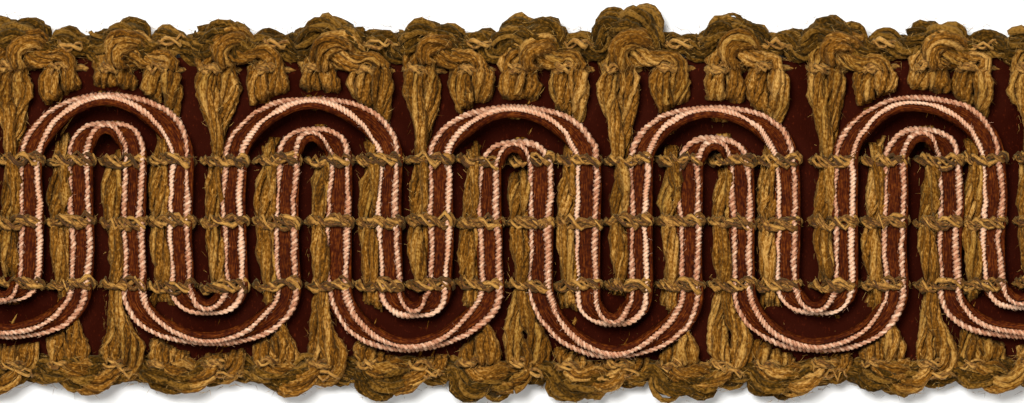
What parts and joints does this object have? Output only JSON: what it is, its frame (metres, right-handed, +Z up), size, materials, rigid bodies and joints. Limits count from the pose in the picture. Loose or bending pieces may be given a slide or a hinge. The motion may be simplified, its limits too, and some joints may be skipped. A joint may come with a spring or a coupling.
{
  "type": "gimp braid trim",
  "caption": "Cut length of flat scroll gimp braid: bulky bronze weft with looped edges, and two flat gimp bands with rose cords laid on it as a serpentine.",
  "frame": {"origin": "middle of the braid's length and width, on the surface that its back rests on", "axes": "+X along the braid, +Y across it towards the edge that is at the top of the picture, +Z up out of its face"},
  "size_m": [0.0464, 0.013, 0.0022],
  "materials": {
    "weft_yarn": "soft bulky two-ply yarn, bronze, matt with a slight sheen",
    "gimp_band": "flat maroon threads between two twisted rose cords, soft sheen"
  },
  "bodies": {
    "root": {"weft_ground": "weft_yarn", "gimp_band_a": "gimp_band", "gimp_band_b": "gimp_band"}
  },
  "joints": []
}
